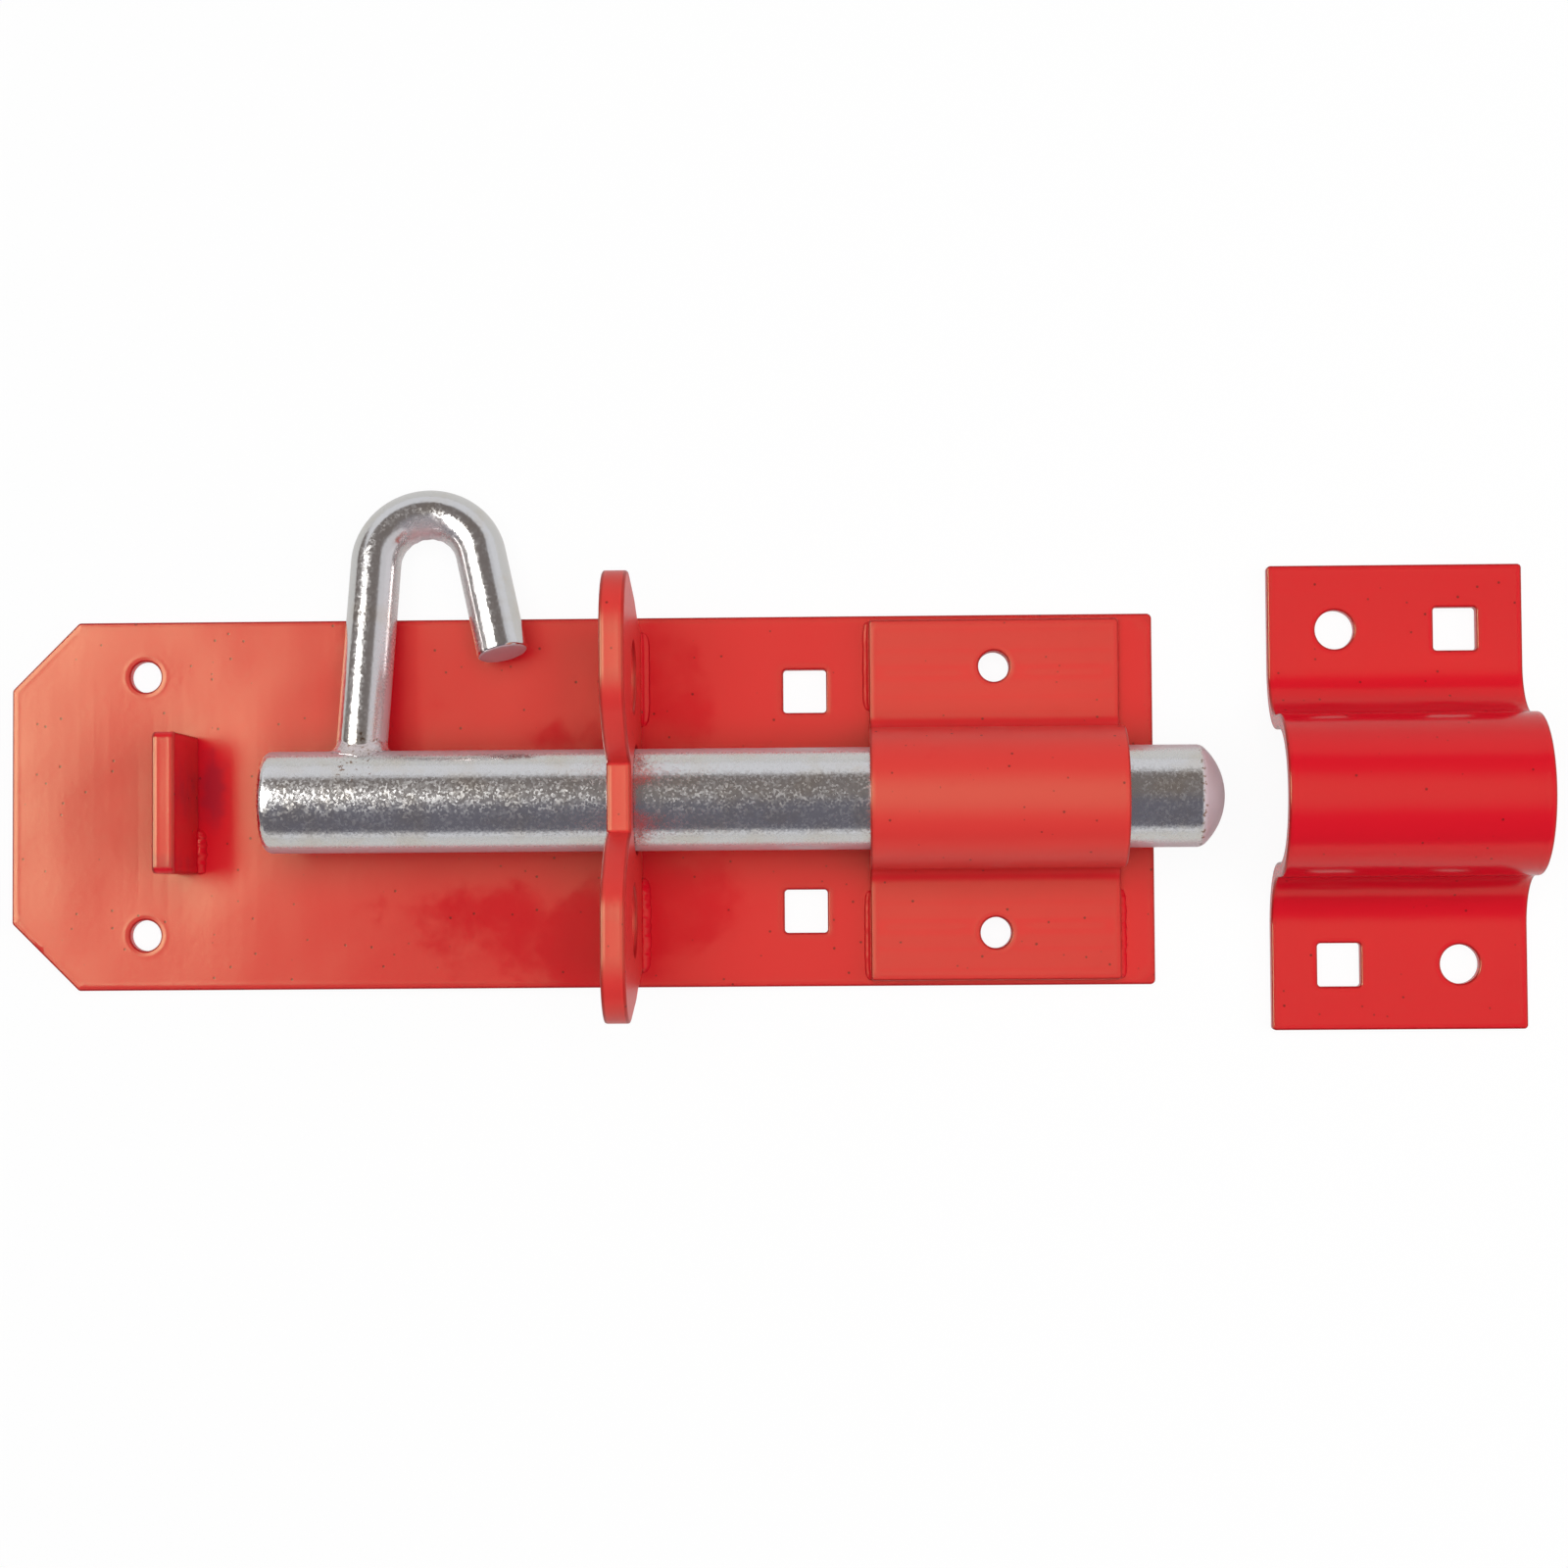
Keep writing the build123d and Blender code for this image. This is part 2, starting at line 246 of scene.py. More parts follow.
def slab(outer, holes, thickness, rim, grid):
    """Flat plate from w = 0 up to its thickness, as points (u, v, w), faces and rim shares.

    Every outline is carried down the wall: at angle a of its rounded edge it stands
    rim (1 - sin a) inside itself, rim (1 - cos a) below the face. The faces between the
    innermost outlines are filled with Delaunay triangles over the grid (u step, v step)
    and two finer rows beside each edge. The rim share falls with the distance from it."""
    a = np.linspace(0, math.pi / 2, 5)
    wall = thickness - 2 * rim
    inset = rim * (1 - np.sin(a))
    inset = np.concatenate([inset, [0, 0, 0], inset[::-1]])
    drop = rim * (1 - np.cos(a))
    level = rim + wall * np.array([0.8, 0.5, 0.2])
    height = np.concatenate([thickness - drop, level, drop[::-1]])
    # how thin the enamel is at each ring from the face down: thinnest on the rounded edge
    share = np.array([0.7, 0.85, 1, 1, 0.8])
    share = np.concatenate([share, [0.3, 0, 0.3], share[::-1]])
    loops = [outer, *holes]
    points, shares, faces, rows, begin = [], [], [], [], 0
    for loop in loops:
        count = len(loop)
        plan = loop[None] - outward(loop)[None] * inset[:, None, None]
        ring = np.dstack([plan, np.repeat(height[:, None], count, axis=1)])
        points.append(ring.reshape(-1, 3))
        shares.append(np.repeat(share, count))
        faces.append(begin + grid_faces(len(inset), count))
        lowest = begin + (len(inset) - 1) * count
        rows.append((plan[0], begin + np.arange(count), lowest + np.arange(count)))
        begin += len(inset) * count
    u = np.arange(outer[:, 0].min(), outer[:, 0].max(), grid[0]) + grid[0] / 2
    v = np.arange(outer[:, 1].min(), outer[:, 1].max(), grid[1]) + grid[1] / 2
    fill = np.stack(np.meshgrid(u, v), axis=-1).reshape(-1, 2)
    # the grid keeps 2.4 mm off the edges, where every second point of two rows takes over
    fill = [fill[within(fill, loops) & (apart(fill, loops) > rim + 2.4 * MM)]]
    for step in (0.9 * MM, 1.9 * MM):
        near = np.concatenate([(loop - outward(loop) * (rim + step))[::2] for loop in loops])
        free = within(near, loops) & (apart(near, loops) > (rim + step) * 0.95)
        fill.append(near[free])
    fill = np.concatenate(fill)
    depth = apart(fill, loops) - rim
    plans = np.concatenate([plan for plan, _, _ in rows] + [fill])
    edges, start = [], 0
    for plan, _, _ in rows:
        k = np.arange(len(plan))
        edges.append(np.stack([start + k, start + np.roll(k, -1)], axis=1))
        start += len(plan)
    found = delaunay_2d_cdt(
        plans.tolist(), np.concatenate(edges).tolist(), [], 0, 1e-9, True,
    )
    origin = np.array([group[0] for group in found[3]])
    triangles = origin[np.array(found[2])]
    middle = plans[triangles].mean(axis=1)
    triangles = triangles[within(middle, [plan for plan, _, _ in rows])]
    side = plans[triangles[:, 1:]] - plans[triangles[:, :1]]
    turned = side[:, 0, 0] * side[:, 1, 1] < side[:, 0, 1] * side[:, 1, 0]
    triangles[turned] = triangles[turned][:, ::-1]
    # the upper face, and the lower one with its triangles turned round
    for level, pick, order in ((thickness, 1, 1), (0, 2, -1)):
        lookup = np.concatenate([row[pick] for row in rows] + [begin + np.arange(len(fill))])
        faces.append(lookup[triangles][:, ::order])
        points.append(np.column_stack([fill, np.full(len(fill), level)]))
        shares.append(0.7 * np.clip(1 - depth / (2 * MM), 0, 1) ** 1.5)
        begin += len(fill)
    return np.concatenate(points), faces, np.concatenate(shares)


def bent(points, thickness, arch, height, bend):
    """A flat strap (u, v, w) bent over an arch, with v = 0 at the crown.

    The heading turns down by 90 degrees over the arch, runs straight, and turns back
    through the bend. Place is the running sum of the heading's cosine and sine. The
    press left faint bands along u: the thickness varies by cosines of v."""
    middle_arch, middle_bend = arch + thickness / 2, bend + thickness / 2
    wall = height - bend - thickness
    s = np.linspace(0, np.abs(points[:, 1]).max() * 1.02, 6000)
    first, second = middle_arch * math.pi / 2, middle_arch * math.pi / 2 + wall
    heading = -np.clip(s / middle_arch, 0, math.pi / 2)
    heading += np.clip((s - second) / middle_bend, 0, math.pi / 2)
    step = s[1] - s[0]

    def running(values):
        return np.concatenate([[0], np.cumsum((values[1:] + values[:-1]) / 2) * step])

    across = running(np.cos(heading))
    rise = running(np.sin(heading)) + height + middle_arch
    at = np.abs(points[:, 1])
    sign = np.where(points[:, 1] < 0, -1.0, 1.0)
    angle = np.interp(at, s, heading)
    bands = 2 + np.cos(at / (1.1 * MM)) + np.cos(at / (1.9 * MM) + 1)
    lift = (points[:, 2] - thickness / 2) * (1 - 0.003 * bands)
    y = sign * (np.interp(at, s, across) - np.sin(angle) * lift)
    z = np.interp(at, s, rise) + np.cos(angle) * lift
    return np.stack([points[:, 0], y, z], axis=1)


def strap_length(length_across, thickness, arch, height, bend):
    """Half the flat length of a bent strap: two quarter arcs, the wall and the foot."""
    foot = length_across / 2 - arch - thickness - bend
    quarters = (arch + bend + thickness) * math.pi / 2
    return quarters + height - bend - thickness + foot


def grid_faces(rows, columns):
    """Quads of a tube's grid of points: each row is a ring, closed from last to first."""
    index = np.arange(rows * columns).reshape(rows, columns)
    after = np.roll(index, -1, axis=1)
    quads = np.stack([index[:-1], index[1:], after[1:], after[:-1]], axis=-1)
    return quads.reshape(-1, 4)


def add_piece(name, points, faces, kind, slot, body, node, close=False, **shares):
    """A smooth shaded mesh object at the origin that stands for a frame node, with its finish and
    body, and its shares as point attributes. Its slot argument is not used."""
    mesh = bpy.data.meshes.new(name)
    blocks = faces if isinstance(faces, list) else [faces]
    mesh.from_pydata(points.tolist(), [], sum((block.tolist() for block in blocks), []))
    mesh.validate()
    mesh.shade_smooth()
    for share, values in shares.items():
        values = np.broadcast_to(values, len(points)).astype(np.float32)
        mesh.attributes.new(share, "FLOAT", "POINT").data.foreach_set("value", values)
    if close:
        close_shell(mesh)
    mesh.materials.append(bpy.data.materials.get(kind.__name__) or kind())
    piece = bpy.data.objects.new(name, mesh)
    bpy.context.scene.collection.objects.link(piece)
    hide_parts(node)
    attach(piece, body)


def close_shell(mesh):
    """Merge the points of poles and seams, and turn every face outwards."""
    shell = bmesh.new()
    shell.from_mesh(mesh)
    bmesh.ops.remove_doubles(shell, verts=shell.verts, dist=1e-6)
    bmesh.ops.recalc_face_normals(shell, faces=shell.faces)
    shell.to_mesh(mesh)
    shell.free()


# settings of a node that many nodes share
SMOOTH = {"interpolation_type": "SMOOTHSTEP"}
COLOURS = {"data_type": "RGBA"}
MULTIPLY_ADD = {"operation": "MULTIPLY_ADD"}


def add(tree, kind, output, inputs, **settings):
    """Adds a shader node of a kind and gives its output. Each input is set to a number or
    a colour, or linked to a socket."""
    node = tree.nodes.new("ShaderNode" + kind)
    for name, value in settings.items():
        setattr(node, name, value)
    for name, value in inputs.items():
        if isinstance(value, bpy.types.NodeSocket):
            tree.links.new(value, node.inputs[name])
        elif node.inputs[name].type == "RGBA":
            node.inputs[name].default_value = (*value, 1)
        else:
            node.inputs[name].default_value = value
    return node.outputs[output]


def new_material(name):
    """A material with an empty node tree."""
    material = bpy.data.materials.new(name)
    material.use_nodes = True
    material.node_tree.nodes.clear()
    return material, material.node_tree


def stoved_red_enamel():
    """Gloss alkyd enamel, dipped and stoved on steel plate.

    The eye gets an even red with a soft wide sheen, patches that dried smoother and so
    look deeper, thin dark rims with a fat edge beside them, orange peel and dust specks."""
    finish = bpy.context.scene.bolt_finishes
    material, tree = new_material("stoved_red_enamel")
    place = add(tree, "TexCoord", "Object", {})
    rim, polish, pooled, dry, stain, bow = [
        add(tree, "Attribute", "Fac", {}, attribute_name=share)
        for share in ("rim", "polish", "pooled", "dry", "stain", "bow")
    ]

    # the width in metres, detail and roughness of each pattern
    cloud, crowd, smoke, swell, peel = [
        add(tree, "TexNoise", "Fac", {
            "Vector": place, "Scale": 1 / width, "Detail": detail, "Roughness": rough,
        })
        for width, detail, rough in (
            (11 * MM, 6.0, 0.62), (22 * MM, 2.0, 0.5), (3 * MM, 3.0, 0.5), (18 * MM, 1.0, 0.5),
            (finish.peel_size, 3.0, 0.5),
        )
    ]

    # smoother patches: the clouds have fairly crisp borders and lie mostly where it pooled
    patch = add(tree, "Math", 0, {0: pooled, 1: 0.42, 2: cloud}, **MULTIPLY_ADD)
    patch = add(tree, "MapRange", "Result", {
        "Value": patch, "From Min": 0.60, "From Max": 0.90,
    }, **SMOOTH)

    # by the rim: a dark line where the enamel draws back from an edge, and the two sides of
    # the fat lip beside it
    edge, rise, fall = [
        add(tree, "MapRange", "Result", {
            "Value": rim, "From Min": start, "From Max": end, "To Max": most,
        }, **SMOOTH)
        for start, end, most in ((0.62, 0.9, 0.75), (0.12, 0.42, 1.0), (0.68, 0.46, 1.0))
    ]

    # specks: dots up to 0.6 mm wide, in most cells where a slow cloud is thick
    cells = add(tree, "TexVoronoi", "Color", {
        "Vector": place, "Scale": 1 / finish.speck_size,
    })
    near = add(tree, "TexVoronoi", "Distance", {
        "Vector": place, "Scale": 1 / finish.speck_size,
    })
    chosen = add(tree, "SeparateColor", "Red", {"Color": cells})
    chosen = add(tree, "Math", 0, {0: crowd, 1: 1.1, 2: chosen}, **MULTIPLY_ADD)
    chosen = add(tree, "Math", 0, {0: chosen, 1: 1.04}, operation="GREATER_THAN")
    dot = add(tree, "MapRange", "Result", {
        "Value": near, "From Min": 0.13, "From Max": 0.06, "To Max": 0.85,
    }, **SMOOTH)
    speck = add(tree, "Math", 0, {0: dot, 1: chosen}, operation="MULTIPLY")

    # soot and painted shadow: clouds 3 mm wide where the stain attribute is high
    stain = add(tree, "Math", 0, {0: smoke, 1: 0.7, 2: stain}, **MULTIPLY_ADD)
    stain = add(tree, "MapRange", "Result", {
        "Value": stain, "From Min": 0.55, "From Max": 1.25, "To Max": 0.5,
    }, **SMOOTH)

    # the colours lie over each other in this order
    base = tuple(finish.enamel)
    for share, tint in (
        # dry lays a paler colour over the enamel: a painted sheen
        (dry, finish.enamel_dry), (patch, finish.enamel_deep), (edge, finish.enamel_rim),
        # stain darkens with weld soot and with a painted shadow beside the stop lug
        (speck, finish.speck), (stain, finish.soot),
    ):
        base = add(tree, "Mix", 2, {0: share, 6: base, 7: tuple(tint)}, **COLOURS)

    # height: slow waves of the plate, orange peel, the fat lip and the specks' pits, in mm
    lip = add(tree, "Math", 0, {0: rise, 1: fall}, operation="MULTIPLY")
    height = bow
    for wave, depth in ((swell, 0.30), (peel, 0.018), (lip, 0.02), (speck, -0.015)):
        height = add(tree, "Math", 0, {0: wave, 1: depth * MM, 2: height}, **MULTIPLY_ADD)
    normal = add(tree, "Bump", "Normal", {"Height": height, "Strength": 1.0, "Distance": 1.0})
    # matt where the polish attribute is low; the sheen is a little yellowish
    matt = add(tree, "MapRange", "Result", {
        "Value": polish, "From Min": -3.0, "From Max": 1.0, "To Min": 0.72, "To Max": 0.12,
    })
    rough = add(tree, "Mix", 0, {0: patch, 2: matt, 3: 0.13})
    surface = add(tree, "BsdfPrincipled", 0, {
        "Base Color": base, "Roughness": rough, "IOR": 1.48, "Normal": normal,
        "Specular Tint": (0.7, 0.93, 0.52),
    })
    add(tree, "OutputMaterial", slice(0), {"Surface": surface})
    return material


def bright_zinc_plate():
    """Electroplated zinc with a clear passivate, on drawn steel bar.

    The eye gets bright metal with crisp bands of its surroundings, broken up by a
    sparkling grain, faint lines along the bar from drawing, slightly yellowed clouds,
    and brown scorch beside the welds."""
    finish = bpy.context.scene.bolt_finishes
    material, tree = new_material("bright_zinc_plate")
    place = add(tree, "TexCoord", "Object", {})
    heat, polish, dull = [
        add(tree, "Attribute", "Fac", {}, attribute_name=share)
        for share in ("rim", "polish", "dull")
    ]
    cloud = add(tree, "TexNoise", "Fac", {
        "Vector": place, "Scale": 1 / (7 * MM), "Detail": 3.0, "Roughness": 0.6,
    })
    yellowed = add(tree, "MapRange", "Result", {
        "Value": cloud, "From Min": 0.45, "From Max": 0.7, "To Max": 0.7,
    }, **SMOOTH)

    # scorch: specks 0.5 mm wide where the heat attribute is high
    spots = add(tree, "TexNoise", "Fac", {
        "Vector": place, "Scale": 1 / (0.8 * MM), "Detail": 2.0, "Roughness": 0.6,
    })
    spots = add(tree, "Math", 0, {0: heat, 1: 0.25, 2: spots}, **MULTIPLY_ADD)
    burnt = add(tree, "MapRange", "Result", {
        "Value": spots, "From Min": 0.78, "From Max": 0.88, "To Max": 0.8,
    }, **SMOOTH)

    # the colours lie over each other: clouds, dull bloom, which is matt too and whose pinkish
    # colour is partly a painted reflection of the red plate, and scorch
    base = tuple(finish.zinc)
    for share, tint in (
        (yellowed, finish.zinc_warm), (dull, finish.zinc_dull), (burnt, finish.scorch),
    ):
        base = add(tree, "Mix", 2, {0: share, 6: base, 7: tuple(tint)}, **COLOURS)
    metal = add(tree, "Math", 0, {0: 1.0, 1: dull}, operation="SUBTRACT")

    # height: the grain, and lines 0.5 mm apart along the drawn bar. Real grain is finer: it
    # is drawn 0.6 mm wide, and the crystals 0.4 mm, as coarse as they need to show
    grain = add(tree, "TexNoise", "Fac", {
        "Vector": place, "Scale": 0.7 / finish.grain_size, "Detail": 3.0, "Roughness": 0.6,
    })
    stretched = add(tree, "Mapping", 0, {"Vector": place, "Scale": (0.03, 1, 1)})
    lines = add(tree, "TexNoise", "Fac", {
        "Vector": stretched, "Scale": 1 / (0.5 * MM), "Detail": 2.0,
    })
    height = add(tree, "Math", 0, {0: grain, 1: 0.020 * MM}, operation="MULTIPLY")
    height = add(tree, "Math", 0, {0: lines, 1: 0.010 * MM, 2: height}, **MULTIPLY_ADD)
    depth = add(tree, "MapRange", "Result", {
        "Value": polish, "From Min": -1.0, "From Max": 1.0, "To Min": 1.0, "To Max": 0.25,
    })
    depth = add(tree, "Math", 0, {0: depth, 1: metal}, operation="MULTIPLY")
    normal = add(tree, "Bump", "Normal", {"Height": height, "Strength": depth, "Distance": 1.0})

    # crystals: every cell of the plating leans its own way and flashes, and some are
    # blunter than the rest, so they catch light that comes from aside
    lean = add(tree, "TexVoronoi", "Color", {
        "Vector": place, "Scale": 1 / finish.grain_size,
    })
    blunt = add(tree, "SeparateColor", "Blue", {"Color": lean})
    lean = add(tree, "VectorMath", 0, {0: lean, 1: (0.5, 0.5, 0.5)}, operation="SUBTRACT")
    amount = add(tree, "Math", 0, {0: depth, 1: cloud}, operation="MULTIPLY")
    amount = add(tree, "Math", 0, {0: amount, 1: 0.13}, operation="MULTIPLY")
    lean = add(tree, "VectorMath", 0, {0: lean, "Scale": amount}, operation="SCALE")
    normal = add(tree, "VectorMath", 0, {0: normal, 1: lean}, operation="ADD")
    normal = add(tree, "VectorMath", 0, {0: normal}, operation="NORMALIZE")
    rough = add(tree, "MapRange", "Result", {
        "Value": blunt, "From Min": 0.35, "From Max": 1.0, "To Min": 0.0, "To Max": 0.28,
    })
    rough = add(tree, "Math", 0, {0: rough, 1: depth}, operation="MULTIPLY")
    # more polish is smoother, dull bloom is blunter
    for share, more in ((polish, -0.07), (dull, 0.3)):
        rough = add(tree, "Math", 0, {0: share, 1: more, 2: rough}, **MULTIPLY_ADD)
    rough = add(tree, "Math", 0, {0: rough, 1: 0.16}, operation="ADD")
    surface = add(tree, "BsdfPrincipled", 0, {
        "Base Color": base, "Metallic": metal, "Roughness": rough, "Normal": normal,
    })
    add(tree, "OutputMaterial", slice(0), {"Surface": surface})
    return material


def soft_spot(points, centre, reach):
    """Share of a soft spot: e to the power of minus the squared distance from its centre,
    counted in its reaches along X and Y. Centre and reach are in millimetres."""
    away = (points[:, :2] / MM - centre) / reach
    return np.exp(-(away ** 2).sum(axis=1))


class BOLT_OT_backplate(bpy.types.Operator):
    """Flat plate with two clipped corners and six holes"""
    bl_idname = "bolt.backplate"
    bl_label = "Backplate"

    def execute(self, context):
        sizes = context.scene.bolt_plates
        low, high = node_box("backplate")
        cut = sizes.end_chamfer
        corners = [
            (low[0] + cut, low[1]), (high[0], low[1]), (high[0], high[1]),
            (low[0] + cut, high[1]), (low[0], high[1] - cut), (low[0], low[1] + cut),
        ]
        radii = np.array([0.9, 1.0, 1.0, 0.9, 0.9, 0.9]) * MM
        bridge = sum(node_box("guide_bridge"))[0] / 2
        tail = low[0] + sizes.screw_hole_inset
        square = high[0] - sizes.square_hole_inset
        holes = []
        for side in (1, -1):
            holes += [
                circle_loop((tail, side * sizes.screw_hole_spacing / 2), sizes.screw_hole),
                circle_loop((bridge, side * sizes.bridge_hole_spacing / 2), sizes.screw_hole),
                square_loop(
                    (square, side * sizes.square_hole_spacing / 2),
                    sizes.square_hole, sizes.square_hole_corner,
                ),
            ]
        outer = rounded_loop(corners, radii, 1.2 * MM)
        points, faces, rim = slab(outer, holes, high[2] - low[2], sizes.rim, (3 * MM, 3 * MM))
        # smoother patches below the bar, beside the hook and past the locking plate: the
        # middle x and y, the reach along and across in millimetres, and the strength
        pooled = sum(
            strength * soft_spot(points, (x, y), (along, across))
            for x, y, along, across, strength in (
                (-16, -22, 20, 8, 0.8), (-2, -30, 14, 9, 0.9), (-6, 13, 12, 4, 0.7),
                (-32, -20, 14, 4, 0.4), (20, 20, 12, 12, 0.9), (20, -20, 12, 12, 0.9),
            )
        )
        # soot and painted shadow on the plate, right of the stop lug, where the lug shades it
        stain = 1.1 * soft_spot(points, (-74, 3), (3.2, 8))
        # the shear left the tail end bowed: the height falls by 0.026 for each unit past
        # X = -50 mm. The weld's heat sank a dent round the stop lug
        past = (-50 * MM - points[:, 0]) / (12 * MM)
        bow = -0.026 * 12 * MM * np.logaddexp(0, past * 2) / 2
        bow -= 0.8 * MM * soft_spot(points, (-84, -1), (13, 22))
        add_piece(
            "backplate_enamelled", points, faces, stoved_red_enamel, "enamel", "mounting",
            "backplate", rim=rim, pooled=pooled, bow=bow, stain=stain,
        )
        return {"FINISHED"}


class BOLT_OT_stop_lug(bpy.types.Operator):
    """Upright flat bar behind the bolt's tail"""
    bl_idname = "bolt.stop_lug"
    bl_label = "Stop lug"

    def execute(self, context):
        low, high = node_box("stop_lug")
        corners = [(low[1], low[2]), (high[1], low[2]), (high[1], high[2]), (low[1], high[2])]
        radii = np.array([0.8, 0.8, 1.4, 1.4]) * MM
        outer = rounded_loop(corners, radii, 0.8 * MM)
        points, faces, rim = slab(outer, [], high[0] - low[0], 0.6 * MM, (1.5 * MM, 1.5 * MM))
        points = points[:, [2, 0, 1]] + (low[0], 0, 0)
        # soot and painted shadow low on the right face, beside the plate's dark patch, and soot
        # along the lower end of the top
        right = np.clip((points[:, 0] - high[0]) / MM + 1, 0, 1)
        y = points[:, 1] / MM
        stain = 0.5 * right * np.exp(-((y - 3) / 8) ** 2) + 0.5 * np.exp(-((y + 12) / 3) ** 2)
        add_piece(
            "stop_lug_enamelled", points, faces, stoved_red_enamel, "enamel", "mounting",
            "stop_lug", rim=rim, stain=stain,
        )
        return {"FINISHED"}


class BOLT_OT_locking_plate(bpy.types.Operator):
    """Upright plate with flared ears, a valley between them and three holes"""
    bl_idname = "bolt.locking_plate"
    bl_label = "Locking plate"

    def execute(self, context):
        sizes = context.scene.bolt_plates
        low, high = node_box("locking_plate")
        base = low[2]
        # corners of one half: place across, height above the backplate and radius
        half = np.array([
            (33.5, 0, 0.8), (36.7, 12, 5), (39.2, 18, 5), (46.3, 46.2, 12), (18.5, 46.2, 10),
            (12.7, 40.4, 20), (8.4, 35.2, 15), (6.6, 29.3, 0.8),
        ]) * MM + (0, base, 0)
        outline = np.concatenate([half, half[::-1] * (-1, 1, 1)])
        outer = rounded_loop(outline[:, :2], outline[:, 2], 0.9 * MM)
        axis = sum(node_box("bolt_bar"))[2] / 2
        holes = [circle_loop((0, axis), sizes.bolt_hole, 72)]
        for side in (1, -1):
            centre = (side * sizes.padlock_hole_spacing / 2, base + sizes.padlock_hole_height)
            holes.append(circle_loop(centre, sizes.padlock_hole, 60))
        points, faces, rim = slab(outer, holes, high[0] - low[0], 0.5 * MM, (2.2 * MM, 2.2 * MM))
        points = points[:, [2, 0, 1]] + (low[0], 0, 0)
        # the paint's skin leans back towards the tail, as the plate does
        bow = 0.05 * (points[:, 0] - low[0])
        # the whole locking plate gets the paler colour: a painted sheen
        add_piece(
            "locking_plate_enamelled", points, faces, stoved_red_enamel, "enamel", "mounting",
            "locking_plate", rim=rim, polish=-0.6, dry=0.28, bow=bow,
        )
        return {"FINISHED"}


class BOLT_OT_straps(bpy.types.Operator):
    """Guide bridge over the bolt, and the staple that receives it"""
    bl_idname = "bolt.straps"
    bl_label = "Guide bridge and staple"

    def strap(self, name, node, base, arch, height, bend, polish, holes):
        """A strap bent from a flat pattern. Each hole is its place along the bolt and across
        it as bent, the function that makes its outline round a place, and its sizes."""
        sizes = bpy.context.scene.bolt_straps
        low, high = node_box(node)
        across, width = high[1] - low[1], high[0] - low[0]
        flat = strap_length(across, sizes.thickness, arch, height, bend)
        corners = [
            (-width / 2, -flat), (width / 2, -flat), (width / 2, flat), (-width / 2, flat),
        ]
        outer = rounded_loop(corners, [0.8 * MM] * 4, 0.7 * MM)
        # flat, the strap is longer by this much at each end, all of it between the holes
        slip = flat - across / 2
        loops = [
            outline((u, v + math.copysign(slip, v)), *size) for u, v, outline, *size in holes
        ]
        rim = bpy.context.scene.bolt_plates.rim
        points, faces, share = slab(outer, loops, sizes.thickness, rim, (2.6 * MM, 0.7 * MM))
        points = bent(points, sizes.thickness, arch, height, bend)
        points += ((low[0] + high[0]) / 2, 0, base)
        # the matt strap leans a little towards the tail, and its arch is painted paler: a painted
        # sheen that stands in for the hazy gloss on its flanks
        matt = polish < 0
        bow = 0.02 * (points[:, 0] - low[0]) * matt
        rise = points[:, 2] - base - sizes.thickness
        dry = 0.3 * np.clip(rise / (2 * MM), 0, 1) * matt
        add_piece(
            name, points, faces, stoved_red_enamel, "enamel", "mounting", node,
            rim=share, polish=polish, dry=dry, bow=bow,
        )

    def execute(self, context):
        plates, sizes = context.scene.bolt_plates, context.scene.bolt_straps
        screw = (circle_loop, plates.screw_hole)
        bolt = (circle_loop, sizes.staple_round_hole)
        square = (square_loop, plates.square_hole, plates.square_hole_corner)
        half = plates.bridge_hole_spacing / 2
        self.strap(
            "guide_bridge_enamelled", "guide_bridge", node_box("guide_bridge")[0][2],
            sizes.bridge_arch, sizes.bridge_wall, sizes.bridge_bend, -0.9,
            [(0, half, *screw), (0, -half, *screw)],
        )
        step, row = sizes.staple_hole_step / 2, sizes.staple_hole_spacing / 2
        self.strap(
            "staple_enamelled", "staple", 0.0,
            sizes.staple_arch, sizes.staple_wall, sizes.staple_bend, 0.5,
            [
                (-step, row, *bolt), (step, -row, *bolt),
                (step, row, *square), (-step, -row, *square),
            ],
        )
        return {"FINISHED"}


def weld_bead(run, leg, ripple, hollow, rng):
    """A bead along +V in the corner between the floor (U, W = 0) and a wall (U = 0).

    The section is a quarter disc of radius r(s) whose centre is the corner, sunk by
    hollow sin(2a) at angle a. r(s) is the leg times a rounded taper at both ends,
    (1 - |2s - 1| ^ 8), times ripples of freezing metal, 1 + ripple times smooth random
    sums of cosines."""
    s = np.linspace(0, 1, 90)
    taper = (1 - np.abs(2 * s - 1) ** 8) ** 0.5
    a = np.concatenate([[0], np.linspace(0, math.pi / 2, 9)])
    phase = rng.uniform(0, math.tau, (4, 2))
    turns = np.array([run / (1.9 * MM), run / (3.1 * MM), run / (0.9 * MM), run / (6 * MM)])
    waves = np.cos(
        math.tau * turns[:, None, None] * s[None, :, None]
        + phase[:, :1, None] + 2.2 * np.cos(a[None, None, :] + phase[:, 1:, None])
    )
    lump = 1 + ripple * np.tensordot([0.5, 0.35, 0.2, 0.45], waves, axes=1)
    radius = leg * taper[:, None] * lump * (1 - hollow * np.sin(2 * a))
    radius[:, 0] = 0
    return np.stack([
        radius * np.cos(a), np.repeat(((s - 0.5) * run)[:, None], len(a), axis=1),
        radius * np.sin(a),
    ], axis=-1)


